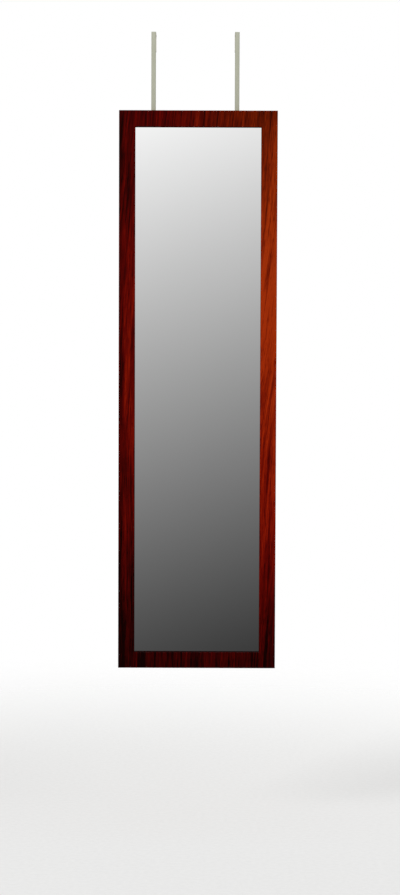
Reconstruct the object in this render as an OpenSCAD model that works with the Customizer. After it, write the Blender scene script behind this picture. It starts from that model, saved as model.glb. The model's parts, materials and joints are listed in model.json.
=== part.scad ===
// A tall framed mirror that hangs from two straps hooked over a top edge.
// X runs across the mirror, Y from the viewer towards the wall side, Z up, in millimetres.
// The origin is on the frame's centreline, where the top edge meets the face it hangs against.

/* [Frame] */
// Overall width of the frame board
frame_w = 381; // [366:1:460]
// Overall height of the frame board
frame_h = 1346; // [1000:1:1600]
// Width of the two upright sides of the frame
stile_w = 39; // [36:0.5:46]
// Height of the frame's top and bottom sides
rail_w = 39; // [37:0.5:48]
// Thickness of the frame board
board_t = 9; // [8:0.5:12]
// Rounding of the board's front edges
edge_r = 1; // [0.5:0.1:1.5]

/* [Glass and back] */
// How far the board laps over the edge of the glass
glass_lap = 7; // [5:0.5:9]
// Play round the glass, liner and back panel in their rebate
glass_play = 1; // [0.5:0.1:1.5]
// Thickness of the mirror glass
glass_t = 3; // [3:0.5:4]
// Thickness of the card liner
liner_t = 3; // [2:0.5:4]
// Thickness of the back panel
panel_t = 3; // [3:0.5:4]
// How far the battens stand inside the board's outer edges
batten_inset = 2; // [1:0.5:3]

/* [Straps] */
// Height of the hooks' seat above the frame's top edge
drop = 188; // [160:1:260]
// Distance between the straps, centre to centre
strap_spacing = 201; // [180:1:215]
// Sideways place of the straps' midpoint
strap_shift = -7.7; // [-8:0.1:8]
// Width of a strap
strap_w = 11; // [10:0.5:13]
// Thickness of a strap
strap_t = 1.2; // [1:0.1:1.4]
// Inner radius of a strap's bends
bend_r = 2; // [1.5:0.1:2.5]
// Clear gap inside a hook, from front pad to back pad
hook_gap = 45; // [36:0.5:50]
// Length of a hook's back lip below its seat
lip_h = 40; // [30:1:50]
// How far a strap slides up through its guide
strap_travel = 80; // [40:1:120]
// Strap left beyond the slot at the lower end
strap_tail = 10; // [8:0.5:16]

/* [Pads and bumpers] */
// Gap between the frame's back and the face it hangs against
standoff = 6; // [5.8:0.1:10]
// Thickness of the pad on a hook's seat
seat_pad_t = 1; // [0.8:0.1:1.5]
// Thickness of the pad on a hook's back lip
lip_pad_t = 1.5; // [1:0.1:2]
// Length of the pad on a hook's front leg
face_pad_len = 40; // [25:1:60]
// Diameter of a corner bumper
bumper_d = 14; // [10:0.5:18]
// Rounding of a bumper's rim
bumper_rim_r = 1.5; // [0.5:0.1:2.5]

/* [Guides and clamps] */
// Thickness of the guides' sheet metal
guide_t = 1; // [0.8:0.1:1.1]
// Height of a guide
guide_h = 24; // [18:0.5:26]
// Width of each foot of a guide
guide_foot_w = 10; // [9:0.5:12]
// Diameter of a clamp screw
clamp_d = 4; // [3.5:0.1:4.5]
// Diameter of a clamp screw's head
clamp_head_d = 8; // [7.5:0.1:9]
// Height of a clamp screw's head
clamp_head_h = 2; // [1.6:0.1:2.1]
// Diameter of a clamp washer
washer_d = 10; // [9.5:0.1:11]
// Thickness of a clamp washer
washer_t = 0.8; // [0.6:0.1:1]
// Wall of a threaded insert
insert_wall = 1.5; // [1:0.1:2]
// Wood left in front of a threaded insert
insert_floor = 1; // [0.5:0.1:2]

/* [Turn buttons] */
// Width of a turn button
button_w = 9; // [8:0.5:11]
// Length of a turn button from its pivot to the centre of its round tip
button_len = 18; // [14:0.5:22]
// Thickness of a turn button
button_t = 1; // [0.8:0.1:1.2]
// Height of a turn button's finger tab
button_tab_h = 2; // [1:0.1:2.5]
// Distance of a turn button's pivot from the rebate's edge
button_edge = 8; // [6:0.5:9]
// Distance of the end buttons from the rebate's ends
button_end_gap = 150; // [80:1:250]

/* [Screws] */
// Diameter of the screws that hold the battens
batten_screw_d = 3.5; // [3:0.1:4]
// Head diameter of the screws that hold the battens
batten_screw_head_d = 7; // [6.5:0.1:8]
// Wood left in front of the tip of a batten screw
batten_screw_floor = 2; // [1.5:0.1:4]
// Distance of the batten screws from the battens' outer edges
batten_screw_edge = 9; // [8:0.5:11]
// Distance of the first and last batten screw from the frame's ends
batten_screw_end_gap = 60; // [45:1:90]
// Number of screws in each side batten
side_screws = 6; // [4:1:8]
// Number of screws in the bottom batten
bottom_screws = 4; // [2:1:5]
// Diameter of the small screws in guides and turn buttons
small_screw_d = 3; // [2.5:0.1:3.3]
// Head diameter of the small screws
small_screw_head_d = 6; // [5.5:0.1:6.5]
// Head height of the small screws
small_screw_head_h = 1.4; // [1:0.1:1.8]
// Length of the small screws in the wood
small_screw_len = 6.5; // [5:0.5:7.5]

/* [Clearances] */
// Play between a strap and the frame, and between a strap and its guide
strap_play = 0.2; // [0.15:0.05:0.25]
// Play at each edge of a strap in its guide
strap_side_play = 0.5; // [0.4:0.1:1]
// Play all round a clamp screw in the strap's slot
slot_play = 0.3; // [0.25:0.05:0.5]
// Radial play of a turning pin in its hole
pin_play = 0.05; // [0.03:0.01:0.09]
// Play under a turning face
face_play = 0.1; // [0.05:0.05:0.15]
// Radial play of a fixed screw or insert in its hole
fixed_play = 0.03; // [0.02:0.01:0.05]

/* [Hidden] */
$fn = 48;
SIDES = ["left", "right"];
ROWS = ["top", "middle", "bottom"];
ENDS = ["top", "bottom"];

// The opening that shows the glass, and the rebate behind it
sight_w = frame_w - 2 * stile_w;
sight_h = frame_h - 2 * rail_w;
glass_w = sight_w + 2 * glass_lap;
glass_h = sight_h + 2 * glass_lap;
rebate_w = glass_w + 2 * glass_play;
rebate_h = glass_h + 2 * glass_play;
batten_t = glass_t + liner_t + panel_t;

// Heights
frame_top = -drop;
frame_bottom = -drop - frame_h;
frame_mid = (frame_top + frame_bottom) / 2;

// Depths, from the front of the board to the face it hangs against at 0
frame_back = -standoff;
glass_back = frame_back - panel_t - liner_t;
board_back = frame_back - batten_t;
board_front = board_back - board_t;
strap_front = frame_back + strap_play;
strap_back = strap_front + strap_t;
guide_front = strap_back + strap_play;
guide_back = guide_front + guide_t;
washer_back = guide_back + face_play + washer_t;
button_front = frame_back + face_play;
button_back = button_front + button_t;
button_tab_inset = 1.5;

// Hooks
bridge_z = seat_pad_t;
bend_z = bridge_z - bend_r;
lip_front = hook_gap + lip_pad_t;
lip_corner_r = 3;
pad_inset = 0.5;
lip_pad_inset = 3;

// Guides, clamps and slots
clamp_z = frame_top - batten_inset - (rail_w - glass_lap - glass_play - batten_inset) / 2;
slot_w = clamp_d + 2 * slot_play;
slot_end_z = clamp_z - strap_travel;
tail_end_z = slot_end_z - slot_w / 2 - strap_tail;
guide_half = strap_w / 2 + strap_side_play;
guide_span = 2 * (guide_half + guide_t + guide_foot_w);
guide_screw_x = guide_half + guide_t + guide_foot_w / 2;
insert_r = clamp_d / 2 + pin_play + insert_wall;
insert_len = batten_t - insert_floor;
tip_gap = 1;

// How far a cutting shape runs past what it cuts
cut_spare = 0.5;

// Screws
screw_tip_h = 2;
recess_w = 0.8;
recess_share = 0.6;
guide_screw_gap = 7;
bottom_screw_gap = 21;
batten_screw_len = batten_t + board_t - batten_screw_floor;

function sign_of(side) = side == "left" || side == "bottom" ? -1 : 1;
function strap_x(side) = strap_shift + sign_of(side) * strap_spacing / 2;
function spread(from, to, count) = [for (i = [0:count - 1]) from + (to - from) * i / (count - 1)];

// Places of the screws in each batten, as [x, z]
side_screw_zs = spread(frame_top - batten_screw_end_gap, frame_bottom + batten_screw_end_gap, side_screws);
side_screw_x = frame_w / 2 - batten_inset - batten_screw_edge;
rail_screw_z = frame_h / 2 - batten_inset - batten_screw_edge;
bottom_screw_xs = spread(-rebate_w / 2 + bottom_screw_gap, rebate_w / 2 - bottom_screw_gap, bottom_screws);
top_screw_xs = [for (side = SIDES, way = [-1, 1]) strap_x(side) + way * (guide_span / 2 + guide_screw_gap)];
function side_screw_places(side) = [for (z = side_screw_zs) [sign_of(side) * side_screw_x, z]];
function rail_screw_places(end) =
    [for (x = end == "top" ? top_screw_xs : bottom_screw_xs) [x, frame_mid + sign_of(end) * rail_screw_z]];
batten_screw_places = concat(
    [for (side = SIDES) each side_screw_places(side)],
    [for (end = ENDS) each rail_screw_places(end)]
);

// Places of the turn buttons' pivots, as [x, z]
button_reach = rebate_h / 2 - button_end_gap;
function row_step(row) = row == "top" ? 1 : row == "bottom" ? -1 : 0;
function side_button_place(side, row) =
    [sign_of(side) * (rebate_w / 2 + button_edge), frame_mid + row_step(row) * button_reach];
function end_button_place(end) = [0, frame_mid + sign_of(end) * (rebate_h / 2 + button_edge)];
button_places = concat(
    [for (side = SIDES, row = ROWS) side_button_place(side, row)],
    [for (end = ENDS) end_button_place(end)]
);
function guide_screw_places(side) = [for (way = [-1, 1]) [strap_x(side) + way * guide_screw_x, clamp_z]];

// Finish colours
foil_colour = [0.34, 0.05, 0.03];
fibreboard_colour = [0.62, 0.48, 0.34];
hardboard_colour = [0.36, 0.24, 0.15];
card_colour = [0.70, 0.58, 0.42];
mirror_colour = [0.72, 0.74, 0.75];
strap_colour = [0.70, 0.70, 0.63];
zinc_colour = [0.68, 0.69, 0.70];
brass_colour = [0.74, 0.60, 0.32];
pad_colour = [0.90, 0.89, 0.86];
rubber_colour = [0.16, 0.16, 0.17];

// ---------------------------------------------------------------- shared shapes

// An outline drawn in X and Z, given depth from y_front to y_back
module slab(y_front, y_back) {
    translate([0, y_back, 0]) rotate([90, 0, 0]) linear_extrude(y_back - y_front) children();
}

// A profile drawn in Y and Z, given the width w along X
module strip(w) {
    rotate([90, 0, 90]) linear_extrude(w, center = true) children();
}

// Moves children to a place given as [x, z]
module at(place) {
    translate([place[0], 0, place[1]]) children();
}

// A round bar along Y from y_front to y_back
module rod(d, y_front, y_back) {
    slab(y_front, y_back) circle(d = d);
}

// A rectangle in X and Z between two corners
module rectangle(low, high) {
    translate(low) square(high - low);
}

// A bar with round ends between two heights, for slots and turn buttons
module stadium(w, z_low, z_high) {
    for (z = [z_low, z_high]) translate([0, z]) circle(d = w);
    rectangle([-w / 2, z_low], [w / 2, z_high]);
}

// The cross-shaped driver recess in a screw head of this size whose top is at y_top
module driver_recess(head_d, head_h, y_top) {
    size = recess_share * head_d;
    depth = recess_share * head_h;
    for (turn = [0, 90]) rotate([0, turn, 0])
        translate([-size / 2, y_top - depth, -recess_w / 2]) cube([size, depth + cut_spare, recess_w]);
}

// A screw's shank from y_top down to a pointed tip
module shank(d, len, y_top) {
    y_tip = y_top - len + screw_tip_h;
    rod(d, y_tip, y_top);
    translate([0, y_tip, 0]) rotate([90, 0, 0]) cylinder(h = screw_tip_h, d1 = d, d2 = d / 3);
}

// ---------------------------------------------------------------- frame

// The board's section, in Y and across, with rounded front edges
module board_section(size) {
    half = size / 2;
    rectangle([board_front + edge_r, -half], [board_back, half]);
    rectangle([board_front, -half + edge_r], [board_back, half - edge_r]);
    for (way = [-1, 1]) translate([board_front + edge_r, way * (half - edge_r)]) circle(edge_r);
}

// The opening's section, in Y and across, flared where the board's inner front edges are rounded
module opening_section(size) {
    half = size / 2;
    difference() {
        union() {
            rectangle([board_front - cut_spare, -half], [board_back + cut_spare, half]);
            rectangle([board_front - cut_spare, -half - edge_r], [board_front + edge_r, half + edge_r]);
        }
        for (way = [-1, 1]) translate([board_front + edge_r, way * (half + edge_r)]) circle(edge_r);
    }
}

// A block as wide as w and as high as h, with the first section up it and the second one across it
module crossed(w, h) {
    intersection() {
        strip(w) children(0);
        rotate([0, 90, 0]) strip(h) children(1);
    }
}

module face_frame() {
    reach = 2 * (edge_r + cut_spare);
    color(foil_colour) difference() {
        translate([0, 0, frame_mid]) difference() {
            crossed(frame_w + reach, frame_h + reach) {
                board_section(frame_h);
                board_section(frame_w);
            }
            crossed(sight_w + reach, sight_h + reach) {
                opening_section(sight_h);
                opening_section(sight_w);
            }
        }
        for (place = batten_screw_places) at(place) batten_screw_hole();
    }
}

// Holes that the battens need for whatever is screwed into them
module batten_holes(places) {
    for (place = places) at(place) batten_screw_hole();
    for (place = button_places) at(place) small_screw_hole();
}

module side_batten(side) {
    outer = frame_w / 2 - batten_inset;
    color(fibreboard_colour) difference() {
        scale([sign_of(side), 1, 1]) slab(board_back, frame_back) rectangle(
            [rebate_w / 2, frame_bottom + batten_inset], [outer, frame_top - batten_inset]
        );
        batten_holes(side_screw_places(side));
    }
}

module end_batten(end) {
    outer = frame_mid + sign_of(end) * (frame_h / 2 - batten_inset);
    inner = frame_mid + sign_of(end) * rebate_h / 2;
    color(fibreboard_colour) difference() {
        slab(board_back, frame_back)
            rectangle([-rebate_w / 2, min(inner, outer)], [rebate_w / 2, max(inner, outer)]);
        batten_holes(rail_screw_places(end));
        if (end == "top") for (side = SIDES) {
            for (place = guide_screw_places(side)) at(place) small_screw_hole();
            at([strap_x(side), clamp_z])
                rod(2 * (insert_r + fixed_play), frame_back - insert_len, frame_back + cut_spare);
        }
    }
}

// ---------------------------------------------------------------- glass and back

// A sheet in the rebate, as large as the glass
module sheet(y_front, y_back) {
    slab(y_front, y_back)
        rectangle([-glass_w / 2, frame_mid - glass_h / 2], [glass_w / 2, frame_mid + glass_h / 2]);
}

module mirror_glass() { color(mirror_colour) sheet(board_back, board_back + glass_t); }
module card_liner() { color(card_colour) sheet(glass_back, glass_back + liner_t); }
module back_panel() { color(hardboard_colour) sheet(frame_back - panel_t, frame_back); }

// ---------------------------------------------------------------- screws

// Cone of a countersunk head, flush with the battens' backs
module countersink(spare) {
    h = (batten_screw_head_d - batten_screw_d) / 2;
    translate([0, frame_back, 0]) rotate([90, 0, 0])
        cylinder(h = h, d1 = batten_screw_head_d + spare, d2 = batten_screw_d + spare);
}

module batten_screw() {
    difference() {
        union() {
            countersink(0);
            shank(batten_screw_d, batten_screw_len, frame_back);
        }
        driver_recess(batten_screw_head_d, small_screw_head_h, frame_back);
    }
}

module batten_screw_hole() {
    countersink(2 * fixed_play);
    rod(batten_screw_d + 2 * fixed_play, frame_back - batten_screw_len - fixed_play, frame_back);
}

// A flat-topped screw whose head stands on y_seat
module small_screw(y_seat) {
    difference() {
        union() {
            rod(small_screw_head_d, y_seat, y_seat + small_screw_head_h);
            shank(small_screw_d, small_screw_len + y_seat - frame_back, y_seat);
        }
        driver_recess(small_screw_head_d, small_screw_head_h, y_seat + small_screw_head_h);
    }
}

module small_screw_hole() {
    rod(small_screw_d + 2 * fixed_play, frame_back - small_screw_len - fixed_play, frame_back + cut_spare);
}

module batten_screws() {
    color(zinc_colour) for (place = batten_screw_places) at(place) batten_screw();
}

module turn_button_screws() {
    color(zinc_colour) for (place = button_places) at(place) small_screw(button_back + face_play);
}

module guide_screws(side) {
    color(zinc_colour) for (place = guide_screw_places(side)) at(place) small_screw(frame_back + guide_t);
}

// ---------------------------------------------------------------- turn buttons

// A turn button with its tip turned away from the pivot at [x, z]
module turn_button(place, turn) {
    tab_w = button_w - 2 * button_tab_inset;
    color(zinc_colour) at(place) rotate([0, turn, 0]) difference() {
        union() {
            slab(button_front, button_back) stadium(button_w, -button_len, 0);
            slab(button_back, button_back + button_tab_h)
                rectangle([-tab_w / 2, -button_len - button_t], [tab_w / 2, -button_len]);
        }
        rod(small_screw_d + 2 * pin_play, button_front - cut_spare, button_back + cut_spare);
    }
}

// ---------------------------------------------------------------- straps, pads and bumpers

// A quarter ring of strap round a bend whose centre is at y, upwards and towards way
module bend(y, way) {
    outer_r = bend_r + strap_t;
    translate([y, bend_z]) scale([way, 1]) intersection() {
        difference() {
            circle(outer_r);
            circle(bend_r);
        }
        square(outer_r);
    }
}

module strap(side) {
    half = strap_w / 2;
    color(strap_colour) translate([strap_x(side), 0, 0]) {
        slab(strap_front, strap_back) difference() {
            union() {
                translate([0, tail_end_z + half]) circle(half);
                rectangle([-half, tail_end_z + half], [half, bend_z]);
            }
            stadium(slot_w, slot_end_z, clamp_z);
        }
        strip(strap_w) {
            bend(strap_back + bend_r, -1);
            rectangle([strap_back + bend_r, bridge_z], [lip_front - bend_r, bridge_z + strap_t]);
            bend(lip_front - bend_r, 1);
        }
        slab(lip_front, lip_front + strap_t) {
            rectangle([-half, -lip_h + lip_corner_r], [half, bend_z]);
            rectangle([-half + lip_corner_r, -lip_h], [half - lip_corner_r, bend_z]);
            for (way = [-1, 1])
                translate([way * (half - lip_corner_r), -lip_h + lip_corner_r]) circle(lip_corner_r);
        }
    }
}

module seat_pad(side) {
    color(pad_colour) translate([strap_x(side), 0, 0]) strip(strap_w)
        rectangle([pad_inset, 0], [lip_front - bend_r - pad_inset, bridge_z]);
}

module face_pad(side) {
    top = bend_z - pad_inset;
    color(pad_colour) translate([strap_x(side), 0, 0]) strip(strap_w)
        rectangle([strap_back, top - face_pad_len], [0, top]);
}

module lip_pad(side) {
    color(pad_colour) translate([strap_x(side), 0, 0]) strip(strap_w)
        rectangle([hook_gap, -lip_h + lip_pad_inset], [lip_front, bend_z - pad_inset]);
}

module bumper(end, side) {
    x = sign_of(side) * (frame_w / 2 + rebate_w / 2 - batten_inset) / 2;
    z = frame_mid + sign_of(end) * (frame_h / 2 + rebate_h / 2 - batten_inset) / 2;
    color(rubber_colour) translate([x, frame_back, z]) rotate([-90, 0, 0]) rotate_extrude() {
        square([bumper_d / 2, standoff - bumper_rim_r]);
        square([bumper_d / 2 - bumper_rim_r, standoff]);
        intersection() {
            translate([bumper_d / 2 - bumper_rim_r, standoff - bumper_rim_r]) circle(bumper_rim_r);
            square(bumper_d);
        }
    }
}

// ---------------------------------------------------------------- guides and clamps

// A sheet-metal saddle over the strap, with a foot at each side
module guide(side) {
    color(zinc_colour) difference() {
        translate([strap_x(side), 0, clamp_z - guide_h / 2]) linear_extrude(guide_h) {
            for (way = [-1, 1]) scale([way, 1]) {
                translate([guide_half, frame_back]) square([guide_t + guide_foot_w, guide_t]);
                translate([guide_half, frame_back]) square([guide_t, guide_back - frame_back]);
                translate([0, guide_front]) square([guide_half + guide_t, guide_t]);
            }
        }
        at([strap_x(side), clamp_z]) rod(slot_w, guide_front - cut_spare, guide_back + cut_spare);
        for (place = guide_screw_places(side)) at(place)
            rod(small_screw_d + 2 * fixed_play, frame_back - cut_spare, frame_back + guide_t + cut_spare);
    }
}

module insert(side) {
    color(brass_colour) at([strap_x(side), clamp_z]) difference() {
        rod(2 * insert_r, frame_back - insert_len, frame_back);
        rod(clamp_d + 2 * pin_play, frame_back - insert_len - cut_spare, frame_back + cut_spare);
    }
}

module clamp_washer(side) {
    color(zinc_colour) at([strap_x(side), clamp_z]) difference() {
        rod(washer_d, washer_back - washer_t, washer_back);
        rod(clamp_d + 2 * pin_play, guide_back - cut_spare, washer_back + cut_spare);
    }
}

module clamp_screw(side) {
    color(zinc_colour) at([strap_x(side), clamp_z]) difference() {
        union() {
            rod(clamp_head_d, washer_back, washer_back + clamp_head_h);
            rod(clamp_d, frame_back - insert_len + tip_gap, washer_back);
        }
        driver_recess(clamp_head_d, clamp_head_h, washer_back + clamp_head_h);
    }
}

// ---------------------------------------------------------------- the assembly

face_frame();
mirror_glass();
card_liner();
back_panel();
batten_screws();
turn_button_screws();
for (end = ENDS) {
    end_batten(end);
    turn_button(end_button_place(end), end == "top" ? 0 : 180);
    for (side = SIDES)
        bumper(end, side);
}
for (side = SIDES) {
    side_batten(side);
    guide(side);
    guide_screws(side);
    insert(side);
    clamp_screw(side);
    clamp_washer(side);
    strap(side);
    seat_pad(side);
    face_pad(side);
    lip_pad(side);
    for (row = ROWS)
        turn_button(side_button_place(side, row), side == "left" ? -90 : 90);
}
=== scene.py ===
"""Looks of a tall framed mirror that hangs from two straps hooked over a top edge.

X runs across the mirror, Y from the viewer towards the face it hangs against, Z up, in metres.
"""

import json
import math

import bmesh
import bpy
from mathutils import Matrix, Vector, noise

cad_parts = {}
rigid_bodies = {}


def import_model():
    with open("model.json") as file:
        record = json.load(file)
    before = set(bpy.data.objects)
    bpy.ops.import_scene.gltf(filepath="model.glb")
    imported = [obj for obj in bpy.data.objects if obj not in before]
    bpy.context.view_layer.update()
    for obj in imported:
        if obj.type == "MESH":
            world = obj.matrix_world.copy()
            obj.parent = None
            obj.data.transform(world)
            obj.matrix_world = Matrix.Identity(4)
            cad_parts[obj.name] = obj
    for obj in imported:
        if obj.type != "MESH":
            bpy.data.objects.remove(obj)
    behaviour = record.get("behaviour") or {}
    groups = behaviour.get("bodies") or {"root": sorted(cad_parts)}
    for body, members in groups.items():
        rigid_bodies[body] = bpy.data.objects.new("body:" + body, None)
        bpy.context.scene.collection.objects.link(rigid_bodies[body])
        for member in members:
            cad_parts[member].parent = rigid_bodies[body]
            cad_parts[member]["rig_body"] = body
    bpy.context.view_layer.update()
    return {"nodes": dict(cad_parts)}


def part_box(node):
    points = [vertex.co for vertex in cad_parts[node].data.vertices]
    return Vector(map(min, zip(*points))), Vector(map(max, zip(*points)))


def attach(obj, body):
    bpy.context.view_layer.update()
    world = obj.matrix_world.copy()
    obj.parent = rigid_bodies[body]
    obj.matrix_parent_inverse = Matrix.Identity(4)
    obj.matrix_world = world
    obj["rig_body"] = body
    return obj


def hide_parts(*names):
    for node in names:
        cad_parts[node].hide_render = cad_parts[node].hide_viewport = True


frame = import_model()

MM = 0.001
SIDES = ("left", "right")
ROWS = ("top", "middle", "bottom")
ENDS = ("top", "bottom")

# Camera: place, downward tilt and roll in degrees, lens and sensor in mm
CAMERA_PLACE = (0.0067, -4.5, -0.7975)
CAMERA_TILT = 2.557
CAMERA_ROLL = 0.216
CAMERA_LENS = 74.55
CAMERA_SENSOR = 36

# Floor: height, radius, the shares of the radius between which it fades, and its two shades
FLOOR_Z = -1.981
FLOOR_RADIUS = 3.2
FLOOR_STEPS = 96
FLOOR_FADE = (0.30, 0.95)
FLOOR_SHADES = ((0.77, 0.77, 0.765), (0.80, 0.80, 0.795))

# Lamps: name, place, power and size
LAMP_AIM = Vector((0, 0, -0.8))
LAMPS = (
    ("key_lamp", (-3.6, -4.6, 1.6), 190, 2.0),
    ("fill_lamp", (3.8, -4.2, 1.2), 50, 2.4),
    ("back_lamp", (3.4, 4.6, 1.6), 190, 2.0),
    ("back_fill_lamp", (-3.8, 4.2, 1.2), 50, 2.4),
)

# Soft light from all round, and how the studio looks to polished faces: the height of the
# direction (-1 to 1) and the level there as it reads on a screen
SOFT_LIGHT = 0.52
STUDIO_LEVELS = (
    (-1.0, 0.80), (-0.45, 0.60), (-0.25, 0.33), (-0.175, 0.207), (0.14, 0.929), (0.4, 0.97), (1.0, 0.9),
)
STUDIO_TURN = -0.35
STUDIO_STRENGTH = 1.145
SCREEN_GAMMA = 2.2

# How far polished faces see the studio turn white behind the mirror, and how narrow that glow is
BACK_GLOW = 0.5
BACK_GLOW_POWER = 8.0

# Frame board: the width of its four sides, its rounded edges and the steps in a quarter round
SIDE_W = 39 * MM
BOARD_EDGE_R = 1.0 * MM
BOARD_CORNER_R = 0.7 * MM
OPENING_CORNER_R = 0.25 * MM
ROUNDING_STEPS = 4

# Tone of the foil at each share of the way down, on the left and on the right, with painted light in it:
# lighter at the top right and darker towards the bottom
FOIL_TONE_PAINTED_LIGHT_LEFT = (
    (0.0, 0.23), (0.16, 0.36), (0.30, 0.45), (0.50, 0.46), (0.70, 0.41), (0.88, 0.165), (1.0, 0.06),
)
FOIL_TONE_PAINTED_LIGHT_RIGHT = (
    (0.0, 0.52), (0.16, 0.76), (0.30, 1.00), (0.50, 0.82), (0.70, 0.71), (0.88, 0.36), (1.0, 0.16),
)

# Broad soft darker and lighter areas on the foil: middle (x, z), half width, half height in mm, and added
# tone
FOIL_AREAS = (
    (-187, -960, 7, 560, -0.21),
    (-187, -270, 7, 90, -0.10),
    (-184, -500, 7, 120, -0.11),
    (-168, -355, 9, 85, -0.22),
    (-170, -830, 8, 110, 0.10),
    (-157, -1290, 8, 160, -0.16),
    (-182, -1490, 12, 120, -0.08),
    (158, -880, 9, 110, -0.10),
    (157, -340, 12, 80, -0.08),
    (162, -1290, 10, 60, 0.09),
    (184, -290, 8, 110, 0.08),
    (165, -200, 45, 22, -0.11),
    (180, -1450, 12, 130, -0.13),
)

# How far in metres the streaks drift sideways at each share of the way down
FOIL_DRIFT_LEFT = ((0.0, 0.0), (0.20, 0.022), (0.40, 0.038), (0.60, 0.050), (0.80, 0.052), (1.0, 0.054))
FOIL_DRIFT_RIGHT = ((0.0, 0.0), (0.20, 0.019), (0.40, 0.056), (0.60, 0.094), (0.80, 0.106), (1.0, 0.122))

# Which part of the printed pattern the board was cut from, across the grain and along it
FOIL_CUT = (2.13, 8.11)

# Size of a pattern in a direction in which the piece is thin or flat
SAME = 1.0

# Small rounded edges, and how deep the glass is ground at its rim
GLASS_ARRIS = 0.4 * MM
GROUND_DEPTH = 0.36 * MM
PANEL_ARRIS = 0.35 * MM
BATTEN_ARRIS = 0.5 * MM
STRAP_ARRIS = 0.25 * MM
SHEET_ARRIS = 0.12 * MM
GUIDE_BEND_R = 0.85 * MM

# What counts as a long edge, as one point, as a flat face, and as a sharp, square or smooth edge
LONG_EDGE = 15 * MM
WELD = 0.001 * MM
FLAT_ANGLE = math.radians(0.3)
ARRIS_ANGLE = math.radians(50)
SQUARE_ANGLE = math.radians(80)
SMOOTH_ANGLE = math.radians(50)

# Felt pads: mesh spacing, rounded edges, height and width of the tufts, and fill
PAD_GRID = 1.0 * MM
PAD_ROUND = 0.4 * MM
PAD_FUZZ = 0.07 * MM
PAD_TUFT = 1.4 * MM

# Bumpers: rounded rim, radius and depth of the dish, and steps round them
BUMPER_RIM_R = 1.5 * MM
BUMPER_DISH_R = 3.6 * MM
BUMPER_DISH = 0.5 * MM
TURNED_STEPS = 48

# Sizes of each kind of screw in mm
PAN_HEAD = {
    "Head diameter": 6, "Under-head diameter": 6, "Head height": 1.4,
    "Recess width": 0.8, "Recess depth": 0.9,
    "Shank diameter": 3, "Shank length": 6.4, "Thread pitch": 1.1,
}
COUNTERSUNK = {
    "Head diameter": 7, "Under-head diameter": 3.5, "Head height": 1.75,
    "Recess width": 0.8, "Recess depth": 0.9,
    "Shank diameter": 3.5, "Shank length": 14, "Thread pitch": 1.4,
}
CLAMP = {
    "Head diameter": 8, "Under-head diameter": 8, "Head height": 2,
    "Recess width": 1.1, "Recess depth": 1.2,
    "Shank diameter": 4, "Shank length": 9.5, "Thread pitch": 0.7,
}

# Shares of a screw's own sizes: a head's crown and recess, and a shank's core, point and thread
CROWN_DROP = 0.22
CROWN_CURVE = 3.0
RECESS_SHARE = 0.6
RECESS_LIFT = 0.1
CORE_SHARE = 0.42
POINT_SHARE = 0.3
POINT_GROWTH = 4.0
THREAD_SHARE = 0.8
THREAD_START = 0.9
THREAD_R_SHARE = 0.40
THREAD_DEPTH = 0.1

# Steps along a screw, round it and in a turn of its thread, and the seed of its spin
SCREW_RINGS = 12
SCREW_STEPS = 28
THREAD_STEPS = 14
SPIN_SEED = 7


# ------------------------------------------------------------------ node trees


class Nodes:
    """Adds nodes to a tree. Each call gives back the socket that the next one reads."""

    def __init__(self, tree):
        self.tree = tree
        self.tree.nodes.clear()

    def node(self, kind, inputs=None, **settings):
        made = self.tree.nodes.new(kind)
        for key, value in settings.items():
            setattr(made, key, value)
        for key, value in (inputs or {}).items():
            self.feed(made.inputs[key], value)
        return made

    def feed(self, socket, value):
        if isinstance(value, bpy.types.NodeSocket):
            self.tree.links.new(value, socket)
        else:
            socket.default_value = value

    def math(self, operation, *values):
        return self.node("ShaderNodeMath", dict(enumerate(values)), operation=operation).outputs[0]

    def add(self, *values):
        total = values[0]
        for value in values[1:]:
            total = self.math("ADD", total, value)
        return total

    def scaled(self, value, factor, shift=0.0):
        return self.math("MULTIPLY_ADD", value, factor, shift)

    def vector(self, x, y, z):
        return self.node("ShaderNodeCombineXYZ", {"X": x, "Y": y, "Z": z}).outputs[0]

    def split(self, vector):
        return self.node("ShaderNodeSeparateXYZ", {0: vector}).outputs

    def ramp(self, value, stops, interpolation="LINEAR"):
        """Stops are (position, colour) or (position, number)."""
        made = self.node("ShaderNodeValToRGB", {"Fac": value})
        made.color_ramp.interpolation = interpolation
        elements = made.color_ramp.elements
        while len(elements) < len(stops):
            elements.new(1.0)
        for element, (position, level) in zip(elements, stops):
            element.position = position
            element.color = (*level, 1) if isinstance(level, tuple) else (level, level, level, 1)
        return made.outputs["Color"]

    def mix(self, share, first, second):
        """Between two colours, by a share of the second."""
        made = self.node("ShaderNodeMix", data_type="RGBA")
        for index, value in ((0, share), (6, first), (7, second)):
            self.feed(made.inputs[index], (*value, 1) if isinstance(value, tuple) else value)
        return made.outputs[2]


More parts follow.
